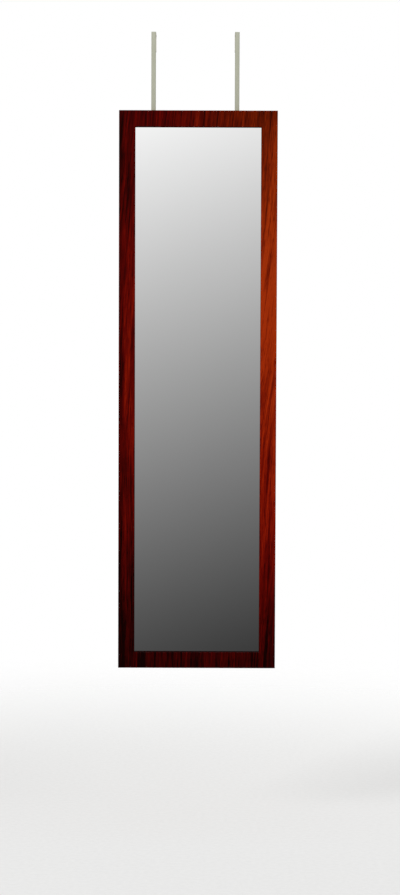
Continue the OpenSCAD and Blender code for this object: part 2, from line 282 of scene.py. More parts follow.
class Finish(Nodes):
    """One material, made from patterns on the object's own coordinates."""

    def __init__(self, name, centre=(0, 0, 0)):
        self.material = bpy.data.materials.new(name)
        self.material.use_nodes = True
        super().__init__(self.material.node_tree)
        place = self.node("ShaderNodeTexCoord").outputs["Object"]
        shift = tuple(-c for c in centre)
        self.place = self.node("ShaderNodeMapping", {"Vector": place, "Location": shift}).outputs[0]

    def grain(self, sizes, detail=2, rough=0.5, place=None, turn=(0, 0, 0), twist=0.0):
        """Noise whose patches measure about sizes along x, y and z."""
        inputs = {
            "Vector": self.place if place is None else place,
            "Rotation": turn,
            "Scale": tuple(1 / s for s in sizes),
        }
        vector = self.node("ShaderNodeMapping", inputs).outputs[0]
        inputs = {"Vector": vector, "Scale": 1.0, "Detail": detail, "Roughness": rough, "Distortion": twist}
        return self.node("ShaderNodeTexNoise", inputs).outputs["Fac"]

    def area(self, middle, half, amount):
        """An added amount that fades out from the middle (x, z) over about half a width and height."""
        spread = (1 / half[0], 0.0, 1 / half[1])
        shift = (-middle[0] / half[0], 0.0, -middle[1] / half[1])
        inputs = {0: self.place, 1: spread, 2: shift}
        away = self.node("ShaderNodeVectorMath", inputs, operation="MULTIPLY_ADD").outputs[0]
        inputs = {0: away, 1: away}
        square = self.node("ShaderNodeVectorMath", inputs, operation="DOT_PRODUCT").outputs["Value"]
        return self.scaled(self.math("POWER", 1 / math.e, square), amount)

    def bump(self, height, depth):
        inputs = {"Height": height, "Distance": depth, "Strength": 1.0}
        return self.node("ShaderNodeBump", inputs).outputs[0]

    def shader(self, colour, roughness, normal=None, **constants):
        """Constants are the shader's own sockets, written with _ for a space."""
        inputs = {"Base Color": colour, "Roughness": roughness}
        inputs.update({key.replace("_", " "): value for key, value in constants.items()})
        if normal is not None:
            inputs["Normal"] = normal
        return self.node("ShaderNodeBsdfPrincipled", inputs).outputs[0]

    def surface(self, *looks, **constants):
        """The finished material, from what the shader takes."""
        self.node("ShaderNodeOutputMaterial", {"Surface": self.shader(*looks, **constants)})
        return self.material


def seen(red, green, blue):
    """A colour as it reads on a screen, from 0 to 255, as the shader's own light values."""
    levels = [c / 255 for c in (red, green, blue)]
    return tuple(c / 12.92 if c <= 0.04045 else ((c + 0.055) / 1.055) ** 2.4 for c in levels)


# ------------------------------------------------------------------ finishes


def foil_finish():
    """Printed wood-grain foil: upright streaks that lean on the right, browner at the top right, with
    painted light that makes it lighter at the top right and darker towards the bottom.
    """
    low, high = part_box("face_frame")
    f = Finish("foil_dark_cherry")
    x, y, z = f.split(f.place)
    down = f.node("ShaderNodeMapRange", {"Value": z, "From Min": high.z, "From Max": low.z}).outputs[0]
    rightness = f.ramp(f.scaled(x, 2.0, 0.5), [(0.2, 0.0), (0.8, 1.0)])
    drift = f.mix(rightness, f.ramp(down, FOIL_DRIFT_LEFT), f.ramp(down, FOIL_DRIFT_RIGHT))
    wander = f.grain((30 * MM, SAME, 160 * MM), detail=2)
    across = f.add(x, y, drift, f.scaled(wander, 7 * MM))
    lay = f.vector(f.add(across, FOIL_CUT[0]), 0.0, f.add(z, FOIL_CUT[1]))
    broad = f.grain((15 * MM, SAME, 360 * MM), detail=1, place=lay)
    streaks = f.grain((6.2 * MM, SAME, 150 * MM), detail=2, rough=0.55, place=lay)
    lines = f.grain((2.2 * MM, SAME, 45 * MM), detail=2, rough=0.6, place=lay)
    flecks = f.grain((2.2 * MM, SAME, 26 * MM), detail=1, place=lay)
    flecks = f.ramp(flecks, [(0.56, 0.0), (0.70, 1.0)])
    pores = f.grain((0.9 * MM, SAME, 12 * MM), detail=1, place=lay)
    pores = f.ramp(pores, [(0.58, 0.0), (0.72, 1.0)])
    bands = f.grain((8 * MM, SAME, 240 * MM), detail=2, place=lay)
    bands = f.ramp(bands, [(0.52, 0.0), (0.66, 1.0)])
    # Painted light: the tone ramps make the foil lighter at the top right and darker towards the bottom
    tone = f.add(
        f.mix(rightness, f.ramp(down, FOIL_TONE_PAINTED_LIGHT_LEFT), f.ramp(down, FOIL_TONE_PAINTED_LIGHT_RIGHT)),
        *[f.area((at_x * MM, at_z * MM), (half_w * MM, half_h * MM), amount)
          for at_x, at_z, half_w, half_h, amount in FOIL_AREAS],
        f.scaled(broad, 0.40, -0.17),
        f.scaled(streaks, 0.74, -0.34),
        f.scaled(lines, 0.62, -0.29),
        f.math("MULTIPLY", flecks, f.scaled(rightness, -0.10, -0.14)),
        f.scaled(pores, -0.12),
        f.scaled(bands, -0.25),
    )
    red = f.ramp(tone, [
        (0.00, (0.0040, 0.0001, 0.0001)),
        (0.25, (0.0350, 0.0003, 0.0002)),
        (0.50, (0.0900, 0.0012, 0.0003)),
        (0.75, (0.1800, 0.0055, 0.0006)),
        (1.00, (0.3100, 0.0170, 0.0015)),
    ])
    brown = f.ramp(tone, [
        (0.00, (0.0050, 0.0004, 0.0001)),
        (0.25, (0.0380, 0.0022, 0.0002)),
        (0.50, (0.0950, 0.0066, 0.0003)),
        (0.75, (0.1850, 0.0145, 0.0010)),
        (1.00, (0.3200, 0.0330, 0.0028)),
    ])
    warm = f.add(f.scaled(x, 4.5), f.scaled(z, 1.2, 0.55))
    colour = f.mix(f.ramp(warm, [(0.0, 0.0), (1.0, 1.0)]), red, brown)
    rough = f.ramp(lines, [(0.3, 0.32), (0.7, 0.44)])
    relief = f.bump(f.add(f.scaled(lines, 0.6), f.scaled(pores, -0.8)), 0.03 * MM)
    return f.surface(colour, rough, relief, Specular_IOR_Level=0.06, Specular_Tint=(1.0, 0.35, 0.28, 1.0))


def opening_shade_finish():
    """A dark, flat coat on the cut edges round the opening: painted shade for the recess beside the glass.
    """
    f = Finish("painted_shade_edge_coat")
    brushed = f.grain((1.5 * MM, 1.5 * MM, 6 * MM), detail=3)
    colour = f.ramp(brushed, [(0.3, (0.010, 0.0012, 0.0010)), (0.7, (0.022, 0.0024, 0.0018))])
    rough = f.ramp(brushed, [(0.3, 0.8), (0.7, 0.95)])
    return f.surface(colour, rough, f.bump(brushed, 0.03 * MM), Specular_IOR_Level=0.0)


def raw_board_finish():
    """Bare fibreboard, with fine fibres and faint saw marks."""
    f = Finish("bare_fibreboard")
    fine = f.grain((0.9 * MM, 0.5 * MM, 1.6 * MM), detail=3, rough=0.7)
    cloud = f.grain((30 * MM, 30 * MM, 60 * MM), detail=3)
    flecks = f.ramp(f.grain((0.5 * MM, 0.5 * MM, 2.2 * MM), detail=1), [(0.62, 0.0), (0.72, 1.0)])
    saw = f.grain((200 * MM, 200 * MM, 0.8 * MM), detail=1)
    colour = f.ramp(f.add(f.scaled(fine, 0.6), f.scaled(cloud, 0.5, -0.05)), [
        (0.25, seen(146, 113, 79)), (0.55, seen(176, 141, 102)), (0.85, seen(196, 164, 124)),
    ])
    colour = f.mix(f.scaled(flecks, 0.45), colour, seen(112, 80, 52))
    relief = f.bump(f.add(fine, f.scaled(saw, 0.5)), 0.06 * MM)
    rough = f.ramp(cloud, [(0.3, 0.72), (0.7, 0.84)])
    return f.surface(colour, rough, relief, Specular_IOR_Level=0.3)


def hardboard_finish():
    """Pressed brown hardboard: matted fibres, mottling and a slight press sheen."""
    f = Finish("pressed_hardboard")
    fibres = [
        f.grain((0.7 * MM, SAME, 7 * MM), detail=2, turn=(0, turn, 0), twist=0.6)
        for turn in (0.5, 1.6, 2.7)
    ]
    matted = f.scaled(f.add(*fibres), 1 / len(fibres))
    mottle = f.grain((26 * MM, SAME, 34 * MM), detail=4, rough=0.6)
    flecks = f.grain((0.9 * MM, SAME, 3.5 * MM), detail=1, turn=(0, 0.9, 0))
    flecks = f.ramp(flecks, [(0.64, 0.0), (0.72, 1.0)])
    colour = f.ramp(f.add(f.scaled(matted, 1.1, -0.05), f.scaled(mottle, 0.5, -0.25)), [
        (0.25, seen(84, 57, 37)), (0.5, seen(118, 84, 57)), (0.75, seen(146, 109, 76)),
    ])
    colour = f.mix(f.scaled(flecks, 0.5), colour, seen(62, 42, 29))
    rough = f.ramp(mottle, [(0.3, 0.46), (0.7, 0.64)])
    return f.surface(colour, rough, f.bump(f.add(matted, flecks), 0.05 * MM), Specular_IOR_Level=0.35)


def card_finish():
    """Grey-brown card, with paper fibres and fine flute lines."""
    f = Finish("grey_card")
    pulp = f.grain((1.2 * MM, 1.2 * MM, 1.8 * MM), detail=4, rough=0.7)
    cloud = f.grain((40 * MM, SAME, 40 * MM), detail=2)
    flutes = f.grain((3.2 * MM, SAME, 900 * MM), detail=0)
    colour = f.ramp(f.add(f.scaled(pulp, 0.7), f.scaled(cloud, 0.3)), [
        (0.3, seen(164, 138, 104)), (0.7, seen(197, 171, 135)),
    ])
    relief = f.bump(f.add(f.scaled(pulp, 0.4), flutes), 0.15 * MM)
    rough = f.ramp(pulp, [(0.3, 0.78), (0.7, 0.9)])
    return f.surface(colour, rough, relief, Specular_IOR_Level=0.2)


def mirror_finish():
    """Silvered float glass: a clean front, greenish ground edges and grey paint on the back."""
    low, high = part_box("mirror_glass")
    f = Finish("silvered_glass", (low + high) / 2)
    x, y, z = f.split(f.place)
    half = (high - low) / 2
    past_side = f.math("SUBTRACT", f.math("ABSOLUTE", x), half.x)
    past_end = f.math("SUBTRACT", f.math("ABSOLUTE", z), half.z)
    edge = f.math("GREATER_THAN", f.math("MAXIMUM", past_side, past_end), -GROUND_DEPTH)
    back = f.math("GREATER_THAN", y, half.y - GROUND_DEPTH)
    dull = f.math("MAXIMUM", edge, back)
    haze = f.grain((140 * MM, SAME, 220 * MM), detail=4, rough=0.55)
    wipes = f.grain((4 * MM, SAME, 90 * MM), detail=2, turn=(0, 0.6, 0), twist=0.4)
    paint = f.ramp(f.grain((2 * MM, 2 * MM, 2 * MM), detail=3), [(0.3, 0.14), (0.7, 0.20)])
    silver = f.ramp(haze, [(0.3, (0.925, 0.928, 0.927)), (0.7, (0.935, 0.937, 0.936))])
    colour = f.mix(back, f.mix(edge, silver, seen(128, 160, 148)), paint)
    clear = f.scaled(f.add(haze, f.scaled(wipes, 0.4)), 0.016, -0.002)
    rough = f.mix(dull, clear, (0.5, 0.5, 0.5))
    return f.surface(colour, rough, Metallic=f.math("SUBTRACT", 1.0, dull))


def strap_finish(side):
    """Cream enamel on strip steel, a little worn, and darker along both edges with painted shade."""
    low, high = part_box(f"{side}_strap")
    f = Finish(f"cream_enamel_{side}", ((low.x + high.x) / 2, 0, 0))
    from_middle = f.math("ABSOLUTE", f.split(f.place)["X"])
    from_edge = f.math("SUBTRACT", (high.x - low.x) / 2, from_middle)
    peel = f.grain((1.3 * MM, 1.3 * MM, 1.6 * MM), detail=2)
    drift = f.grain((9 * MM, 20 * MM, 60 * MM), detail=3)
    # Painted shade: the enamel turns darker towards both edges of the strap
    painted_edge_shade = f.ramp(f.scaled(from_edge, 1 / (6 * MM)), [(0.0, 0.0), (0.16, 0.75), (0.5, 1.0)], "EASE")
    scuffs = f.grain((0.5 * MM, 0.5 * MM, 7 * MM), detail=3)
    worn = f.ramp(f.add(f.scaled(from_edge, -1 / (1.2 * MM), 0.42), scuffs), [(0.90, 0.0), (0.97, 1.0)])
    colour = f.ramp(drift, [(0.3, seen(169, 170, 152)), (0.7, seen(179, 180, 163))])
    colour = f.mix(painted_edge_shade, seen(146, 147, 132), colour)
    colour = f.mix(f.scaled(worn, 0.4), colour, seen(122, 118, 104))
    rough = f.ramp(drift, [(0.3, 0.36), (0.7, 0.48)])
    relief = f.bump(f.add(peel, f.scaled(worn, -0.8)), 0.04 * MM)
    return f.surface(colour, rough, relief, Specular_IOR_Level=0.4)


def zinc_finish():
    """Bright zinc plate with fine rolling lines and a faint yellow bloom."""
    f = Finish("zinc_plate")
    lines = f.grain((0.35 * MM, 0.35 * MM, 9 * MM), detail=2, rough=0.6)
    bloom = f.grain((5 * MM, 5 * MM, 7 * MM), detail=3)
    spots = f.ramp(f.grain((0.7 * MM, 0.7 * MM, 0.7 * MM), detail=1), [(0.66, 0.0), (0.74, 1.0)])
    streaks = f.ramp(lines, [(0.38, 1.0), (0.62, 0.0)])
    colour = f.mix(f.scaled(bloom, 0.7), seen(212, 215, 217), seen(203, 199, 183))
    colour = f.mix(f.scaled(streaks, 0.22), colour, seen(150, 152, 154))
    colour = f.mix(f.scaled(spots, 0.35), colour, seen(138, 138, 134))
    rough = f.ramp(f.add(f.scaled(lines, 0.5), f.scaled(bloom, 0.5)), [(0.3, 0.26), (0.7, 0.42)])
    return f.surface(colour, rough, f.bump(f.add(lines, f.scaled(spots, -0.5)), 0.01 * MM), Metallic=1.0)


def brass_finish():
    """Turned brass, with fine rings and light tarnish."""
    f = Finish("turned_brass")
    rings = f.grain((0.4 * MM, 0.12 * MM, 0.4 * MM), detail=1)
    tarnish = f.grain((2.5 * MM, 2.5 * MM, 2.5 * MM), detail=3)
    colour = f.ramp(tarnish, [(0.3, seen(150, 116, 62)), (0.7, seen(203, 170, 98))])
    rough = f.ramp(tarnish, [(0.3, 0.42), (0.7, 0.28)])
    return f.surface(colour, rough, f.bump(rings, 0.01 * MM), Metallic=1.0)


def felt_finish():
    """Off-white needled felt."""
    f = Finish("white_felt")
    fuzz = f.grain((0.35 * MM, 0.35 * MM, 0.35 * MM), detail=3, rough=0.7)
    hairs = [
        f.grain((0.15 * MM, 0.6 * MM, 1.6 * MM), detail=1, turn=(turn, turn, 0), twist=1.2)
        for turn in (0.4, 1.7)
    ]
    lumps = f.grain((3 * MM, 3 * MM, 3 * MM), detail=2)
    tone = f.add(f.scaled(fuzz, 0.4), *[f.scaled(hair, 0.25) for hair in hairs], f.scaled(lumps, 0.2))
    colour = f.ramp(tone, [
        (0.35, seen(196, 191, 180)), (0.55, seen(226, 222, 213)), (0.75, seen(240, 237, 230)),
    ])
    rough = f.ramp(fuzz, [(0.3, 0.88), (0.7, 0.98)])
    return f.surface(colour, rough, f.bump(tone, 0.25 * MM),
                     Specular_IOR_Level=0.15, Sheen_Weight=0.35, Sheen_Roughness=0.5)


def rubber_finish():
    """Dark grey moulded rubber with a matt skin and a little dust."""
    f = Finish("grey_rubber")
    skin = f.grain((0.3 * MM, 0.3 * MM, 0.3 * MM), detail=2)
    dust = f.ramp(f.grain((3 * MM, 3 * MM, 3 * MM), detail=4, rough=0.7), [(0.45, 0.0), (0.8, 1.0)])
    clean = f.ramp(skin, [(0.3, seen(44, 44, 46)), (0.7, seen(58, 58, 60))])
    colour = f.mix(f.scaled(dust, 0.35), clean, seen(112, 110, 106))
    rough = f.ramp(dust, [(0.0, 0.58), (1.0, 0.8)])
    return f.surface(colour, rough, f.bump(skin, 0.02 * MM), Specular_IOR_Level=0.35)


# ------------------------------------------------------------------ mesh helpers


def add_piece(bm, name, *materials):
    """A scene object from a finished bmesh."""
    mesh = bpy.data.meshes.new(name)
    bm.to_mesh(mesh)
    bm.free()
    return add_mesh(mesh, name, *materials)


def add_mesh(mesh, name, *materials):
    """A scene object from a mesh, smooth across its shallow edges and flat on its flat faces."""
    if mesh.has_custom_normals:
        mesh.attributes.remove(mesh.attributes["custom_normal"])
    mesh.shade_smooth()
    mesh.set_sharp_from_angle(angle=SMOOTH_ANGLE)
    for material in materials:
        mesh.materials.append(material)
    piece = bpy.data.objects.new(name, mesh)
    bpy.context.scene.collection.objects.link(piece)
    shading = piece.modifiers.new("flat_faces_stay_flat", "WEIGHTED_NORMAL")
    shading.keep_sharp = True
    shading.use_face_influence = True
    piece.data = plain_mesh(piece)
    piece.modifiers.remove(shading)
    return piece


def plain_mesh(piece):
    """The mesh that the piece's modifiers make."""
    graph = bpy.context.evaluated_depsgraph_get()
    return bpy.data.meshes.new_from_object(piece.evaluated_get(graph), depsgraph=graph)


def stand_for(piece, node):
    """The piece shows instead of this node of the solid model, and moves with it."""
    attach(piece, frame["nodes"][node]["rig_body"])
    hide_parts(node)
    return piece


def rounded_rectangle(centre, half_w, half_h, corner_r, y):
    """Points of a rectangle in X and Z with rounded corners, at depth y."""
    points = []
    for quarter, (way_x, way_z) in enumerate(((1, 1), (-1, 1), (-1, -1), (1, -1))):
        for step in range(ROUNDING_STEPS + 1):
            turn = math.radians(90 * (quarter + step / ROUNDING_STEPS))
            points.append(Vector((
                centre.x + way_x * (half_w - corner_r) + corner_r * math.cos(turn),
                y,
                centre.z + way_z * (half_h - corner_r) + corner_r * math.sin(turn),
            )))
    return points


def quarter_round(radius):
    """A rounded edge as steps of (how far in from the side, how far below the face)."""
    turns = [math.radians(90 * step / ROUNDING_STEPS) for step in range(ROUNDING_STEPS + 1)]
    return [(radius * (1 - math.cos(turn)), radius * (1 - math.sin(turn))) for turn in turns]


def joined_loops(loops):
    """Walls between loops with the same number of points, and from the last loop to the first."""
    bm = bmesh.new()
    rows = [[bm.verts.new(p) for p in loop] for loop in loops]
    for near, far in zip(rows, rows[1:] + rows[:1]):
        for i in range(len(near)):
            j = (i + 1) % len(near)
            bm.faces.new((near[i], near[j], far[j], far[i]))
    bmesh.ops.recalc_face_normals(bm, faces=bm.faces)
    return bm


def rounded(bm, edges, radius, segments):
    """Rounds edges, and marks the new faces as the ones that give way in the shading."""
    bmesh.ops.bevel(bm, geom=edges, offset=radius, segments=segments, profile=0.5, affect="EDGES",
                    face_strength_mode="AFFECTED")


def slab(low, high, arris, segments=2):
    """A box between two corners with small rounded edges."""
    bm = bmesh.new()
    bmesh.ops.create_cube(bm, size=1)
    bmesh.ops.scale(bm, vec=high - low, verts=bm.verts)
    bmesh.ops.translate(bm, vec=(low + high) / 2, verts=bm.verts)
    rounded(bm, bm.edges, arris, segments)
    return bm


def welded(node):
    """The node's own triangles in a bmesh, joined at their edges."""
    bm = bmesh.new()
    bm.from_mesh(frame["nodes"][node].data)
    bmesh.ops.remove_doubles(bm, verts=bm.verts, dist=WELD)
    return bm


def copy_of(node):
    """The node's own shape as a bmesh with its flat faces whole."""
    bm = welded(node)
    bmesh.ops.dissolve_limit(bm, angle_limit=FLAT_ANGLE, verts=bm.verts, edges=bm.edges)
    return bm


def soften(bm, arris, segments=2, only=lambda edge: True):
    """Rounds the sharp outer edges, or only some of them."""
    edges = [
        edge for edge in bm.edges
        if edge.is_manifold and edge.is_convex and edge.calc_face_angle() > ARRIS_ANGLE and only(edge)
    ]
    rounded(bm, edges, arris, segments)
    return bm


def turned(place, profile):
    """A solid of revolution about Y at a place. The profile is (radius, y) from end to end."""
    bm = bmesh.new()
    turns = [math.tau * i / TURNED_STEPS for i in range(TURNED_STEPS)]
    rows = []
    for radius, y in profile:
        rows.append([
            bm.verts.new((place.x + radius * math.cos(t), y, place.z + radius * math.sin(t)))
            for t in (turns if radius else turns[:1])
        ])
    for near, far in zip(rows, rows[1:]):
        for i in range(TURNED_STEPS):
            j = (i + 1) % TURNED_STEPS
            corners = [near[i % len(near)], near[j % len(near)], far[j % len(far)], far[i % len(far)]]
            bm.faces.new([v for k, v in enumerate(corners) if v not in corners[:k]])
    bmesh.ops.recalc_face_normals(bm, faces=bm.faces)
    return bm


def loose_parts(node):
    """(lowest, highest) corner of each separate part in a node."""
    bm = welded(node)
    left, boxes = set(bm.verts), []
    while left:
        part = [left.pop()]
        for vert in part:
            for edge in vert.link_edges:
                other = edge.other_vert(vert)
                if other in left:
                    left.remove(other)
                    part.append(other)
        corners = [v.co for v in part]
        boxes.append((
            Vector([min(c[i] for c in corners) for i in range(3)]),
            Vector([max(c[i] for c in corners) for i in range(3)]),
        ))
    bm.free()
    return sorted(boxes, key=lambda b: (round(b[0].z, 4), round(b[0].x, 4)))


# ------------------------------------------------------------------ frame, glass and back


def face_board(foil, bare, opening_painted_shade):
    """The one-piece board: an upright rectangle with an opening and eased front edges."""
    low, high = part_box("face_frame")
    centre, half = (low + high) / 2, (high - low) / 2
    inner = Vector((half.x - SIDE_W, 0, half.z - SIDE_W))

    def outer_loop(inset, y):
        return rounded_rectangle(centre, half.x - inset, half.z - inset, BOARD_CORNER_R, y)

    def opening_loop(inset, y):
        return rounded_rectangle(centre, inner.x + inset, inner.z + inset, OPENING_CORNER_R + inset, y)

    eased = quarter_round(BOARD_EDGE_R)
    loops = [outer_loop(0, high.y)]
    loops += [outer_loop(inset, low.y + drop) for inset, drop in eased]
    loops += [opening_loop(inset, low.y + drop) for inset, drop in reversed(eased)]
    loops += [opening_loop(0, high.y)]
    bm = joined_loops(loops)
    for face in bm.faces:
        offset = face.calc_center_median() - centre
        if all(abs(v.co.y - high.y) < WELD for v in face.verts):
            face.material_index = 1
        # The walls of the opening take the painted shade of the recess beside the glass
        elif abs(offset.x) < inner.x + WELD and abs(offset.z) < inner.z + WELD:
            face.material_index = 2
    return stand_for(add_piece(bm, "foiled_board", foil, bare, opening_painted_shade), "face_frame")


def glass_pane(silver):
    bm = slab(*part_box("mirror_glass"), GLASS_ARRIS, segments=1)
    return stand_for(add_piece(bm, "glass_pane", silver), "mirror_glass")


def rear_panel(hardboard):
    bm = slab(*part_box("back_panel"), PANEL_ARRIS)
    return stand_for(add_piece(bm, "hardboard_panel", hardboard), "back_panel")


def battens(bare):
    for node in [f"{side}_batten" for side in SIDES] + [f"{end}_batten" for end in ENDS]:
        bm = soften(copy_of(node), BATTEN_ARRIS, only=lambda edge: edge.calc_length() >= LONG_EDGE)
        stand_for(add_piece(bm, f"{node}_strip", bare), node)


# ------------------------------------------------------------------ screws


def screw_tree():
    """Screws on points along Y: a curved head, a cross recess, a pointed shank and a spiral thread."""
    tree = bpy.data.node_groups.new("screws_on_points", "GeometryNodeTree")
    g = Nodes(tree)
    face = tree.interface
    face.new_socket("Places", in_out="INPUT", socket_type="NodeSocketGeometry")
    for name in ("Head diameter", "Under-head diameter", "Head height", "Shank diameter", "Shank length",
                 "Thread pitch", "Recess width", "Recess depth"):
        face.new_socket(name, in_out="INPUT", socket_type="NodeSocketFloat")
    face.new_socket("Spin seed", in_out="INPUT", socket_type="NodeSocketInt")
    face.new_socket("Finish", in_out="INPUT", socket_type="NodeSocketMaterial")
    face.new_socket("Screws", in_out="OUTPUT", socket_type="NodeSocketGeometry")
    given = g.node("NodeGroupInput").outputs

    def lathe(base, length, radius):
        """A closed solid of revolution up Z from base, whose radius is a field along it."""
        line = g.node("GeometryNodeCurvePrimitiveLine", {
            "Start": g.vector(0.0, 0.0, base), "End": g.vector(0.0, 0.0, g.add(base, length)),
        }).outputs[0]
        line = g.node("GeometryNodeResampleCurve", {"Curve": line, "Count": SCREW_RINGS}).outputs[0]
        inputs = {"Resolution": SCREW_STEPS, "Radius": 1.0}
        ring = g.node("GeometryNodeCurvePrimitiveCircle", inputs).outputs[0]
        inputs = {"Curve": line, "Profile Curve": ring, "Scale": radius, "Fill Caps": True}
        return g.node("GeometryNodeCurveToMesh", inputs).outputs[0]

    def half(value):
        return g.scaled(value, 0.5)

    along = g.node("GeometryNodeSplineParameter").outputs["Factor"]
    top = g.math("POWER", along, CROWN_CURVE)
    crown = g.scaled(g.math("MULTIPLY", top, half(given["Under-head diameter"])), -CROWN_DROP)
    blend = g.math("MULTIPLY", g.math("SUBTRACT", 1.0, along),
                   g.math("SUBTRACT", given["Head diameter"], given["Under-head diameter"]))
    head_radius = g.add(half(given["Head diameter"]), crown, g.scaled(blend, -0.5))
    head = lathe(0.0, given["Head height"], head_radius)
    bar_length = g.scaled(given["Head diameter"], RECESS_SHARE)
    bar_size = g.vector(bar_length, given["Recess width"], given["Recess depth"])
    bar = g.node("GeometryNodeMeshCube", {"Size": bar_size}).outputs[0]
    inputs = {"Geometry": bar, "Rotation": (0, 0, math.pi / 2)}
    other_bar = g.node("GeometryNodeTransform", inputs).outputs[0]
    lift = g.math("SUBTRACT", given["Head height"], g.scaled(given["Recess depth"], RECESS_LIFT))
    cut = g.node("GeometryNodeMeshBoolean", {"Mesh 1": head}, operation="DIFFERENCE", solver="EXACT")
    for part in (bar, other_bar):
        inputs = {"Geometry": part, "Translation": g.vector(0.0, 0.0, lift)}
        tree.links.new(g.node("GeometryNodeTransform", inputs).outputs[0], cut.inputs["Mesh 2"])

    length = given["Shank length"]
    taper = g.math("MINIMUM", 1.0, g.scaled(along, POINT_GROWTH, POINT_SHARE))
    core = g.math("MULTIPLY", taper, g.scaled(given["Shank diameter"], CORE_SHARE))
    shank = lathe(g.scaled(length, -1.0), length, core)
    thread_length = g.scaled(length, THREAD_SHARE)
    thread_radius = g.scaled(given["Shank diameter"], THREAD_R_SHARE)
    spiral = g.node("GeometryNodeCurveSpiral", {
        "Resolution": THREAD_STEPS,
        "Rotations": g.math("DIVIDE", thread_length, given["Thread pitch"]),
        "Start Radius": thread_radius,
        "End Radius": thread_radius,
        "Height": thread_length,
    }).outputs[0]
    spiral = g.node("GeometryNodeTransform", {
        "Geometry": spiral, "Translation": g.vector(0.0, 0.0, g.scaled(length, -THREAD_START)),
    }).outputs[0]
    ridge = g.node("GeometryNodeCurvePrimitiveCircle", {
        "Resolution": 3, "Radius": g.scaled(given["Shank diameter"], THREAD_DEPTH),
    }).outputs[0]
    thread = g.node("GeometryNodeCurveToMesh", {
        "Curve": spiral, "Profile Curve": ridge, "Fill Caps": True,
    }).outputs[0]

    whole = g.node("GeometryNodeJoinGeometry", {"Geometry": cut.outputs[0]})
    for part in (shank, thread):
        tree.links.new(part, whole.inputs[0])
    inputs = {"Geometry": whole.outputs[0], "Rotation": (-math.pi / 2, 0, 0)}
    whole = g.node("GeometryNodeTransform", inputs).outputs[0]
    inputs = {"Min": 0.0, "Max": 1.0, "Seed": given["Spin seed"]}
    spin = g.node("FunctionNodeRandomValue", inputs, data_type="FLOAT").outputs["Value"]
    turn = g.vector(0.0, g.scaled(spin, math.pi / 2), 0.0)
    placed = g.node("GeometryNodeInstanceOnPoints", {
        "Points": given["Places"], "Instance": whole, "Rotation": turn,
    })
    real = g.node("GeometryNodeRealizeInstances", {"Geometry": placed.outputs[0]}).outputs[0]
    done = g.node("GeometryNodeSetMaterial", {"Geometry": real, "Material": given["Finish"]}).outputs[0]
    g.node("NodeGroupOutput", {0: done})
    return tree


def grown(tree, name, places, settings):
    """A plain mesh from a node tree that runs on one vertex at each place."""
    points = bpy.data.meshes.new(f"{name}_places")
    points.from_pydata([tuple(p) for p in places], [], [])
    holder = bpy.data.objects.new(f"{name}_holder", points)
    bpy.context.scene.collection.objects.link(holder)
    modifier = holder.modifiers.new("made", "NODES")
    modifier.node_group = tree
    for item in tree.interface.items_tree:
        if item.name in settings:
            modifier[item.identifier] = settings[item.name]
    mesh = plain_mesh(holder)
    holder.modifiers.remove(modifier)
    bpy.data.objects.remove(holder)
    return add_mesh(mesh, name)


def screws(zinc):
    tree = screw_tree()
    kinds = [("batten_screws", COUNTERSUNK), ("turn_button_screws", PAN_HEAD)]
    kinds += [(f"{side}_guide_screws", PAN_HEAD) for side in SIDES]
    kinds += [(f"{side}_clamp_screw", CLAMP) for side in SIDES]
    for node, sizes in kinds:
        settings = {name: size * MM for name, size in sizes.items()}
        seats = [
            Vector(((low.x + high.x) / 2, high.y - settings["Head height"], (low.z + high.z) / 2))
            for low, high in loose_parts(node)
        ]
        settings.update({"Spin seed": SPIN_SEED, "Finish": zinc})
        piece = grown(tree, f"{node}_threaded", seats, settings)
        stand_for(piece, node)


# ------------------------------------------------------------------ sheet metal and fittings


def straps():
    for side in SIDES:
        node = f"{side}_strap"
        bm = soften(copy_of(node), STRAP_ARRIS)
        stand_for(add_piece(bm, f"{node}_enamelled", strap_finish(side)), node)


def guides(zinc):
    for side in SIDES:
        node = f"{side}_guide"
        back_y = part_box(node)[1].y

        def is_bend(edge):
            start, end = [v.co for v in edge.verts]
            on_back = all(abs(co.y - back_y) < WELD for co in (start, end))
            return on_back and abs(start.x - end.x) < WELD and edge.calc_length() > LONG_EDGE

        bm = soften(copy_of(node), GUIDE_BEND_R, segments=4, only=is_bend)
        soften(bm, SHEET_ARRIS, segments=1, only=lambda edge: edge.calc_face_angle() > SQUARE_ANGLE)
        stand_for(add_piece(bm, f"{node}_folded", zinc), node)


def turn_buttons(zinc):
    nodes = [f"{side}_turn_button_{row}" for side in SIDES for row in ROWS]
    nodes += [f"{end}_turn_button" for end in ENDS]
    for node in nodes:
        bm = soften(copy_of(node), SHEET_ARRIS, segments=1)
        stand_for(add_piece(bm, f"{node}_pressed", zinc), node)


def washers(zinc):
    for side in SIDES:
        node = f"{side}_clamp_washer"
        bm = soften(copy_of(node), SHEET_ARRIS)
        stand_for(add_piece(bm, f"{node}_stamped", zinc), node)


# ------------------------------------------------------------------ pads and bumpers


def felt_pads(felt):
    """Thin felt pads: rounded edges and an uneven, needled surface."""
    for node in [f"{side}_{kind}_pad" for side in SIDES for kind in ("seat", "face", "lip")]:
        low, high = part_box(node)
        bm = slab(low, high, PAD_ROUND, segments=3)
        for axis in range(3):
            steps = int((high[axis] - low[axis]) / PAD_GRID)
            for step in range(1, steps):
                cut = Vector((0, 0, 0))
                cut[axis] = 1
                place = low + (high - low) * step / steps
                bmesh.ops.bisect_plane(bm, geom=bm.verts[:] + bm.edges[:] + bm.faces[:], plane_co=place,
                                       plane_no=cut)
        middle = (low + high) / 2
        for vert in bm.verts:
            dip = PAD_FUZZ * (0.5 + 0.5 * noise.noise(vert.co / PAD_TUFT))
            vert.co += (middle - vert.co).normalized() * dip
        piece = stand_for(add_piece(bm, f"{node}_felt", felt), node)


